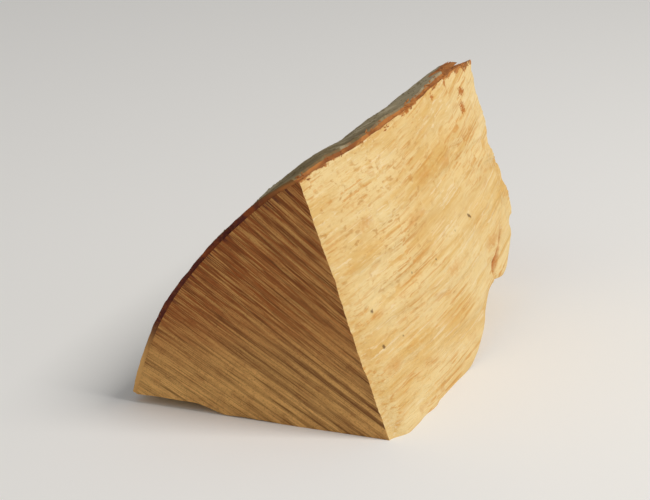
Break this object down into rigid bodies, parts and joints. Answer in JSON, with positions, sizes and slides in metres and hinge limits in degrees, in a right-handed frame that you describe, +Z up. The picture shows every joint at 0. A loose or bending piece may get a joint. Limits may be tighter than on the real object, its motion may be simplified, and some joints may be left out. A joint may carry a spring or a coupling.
{
  "type": "firewood log",
  "caption": "Split firewood log: a wedge of beech trunk with sawn ends, riven faces and its thin grey bark, lying on its flat riven side, for burning or stacking.",
  "frame": {"origin": "on the surface that the log lies on, at the middle of its box", "axes": "+X along the grain from the near sawn end to the far one, -Y out of the tall riven face, +Y towards the bark, +Z up"},
  "size_m": [0.2746, 0.1642, 0.142],
  "materials": {
    "wood": "matte",
    "bark": "matte"
  },
  "bodies": {
    "root": {"wood": "wood", "bark": "bark"}
  },
  "joints": []
}
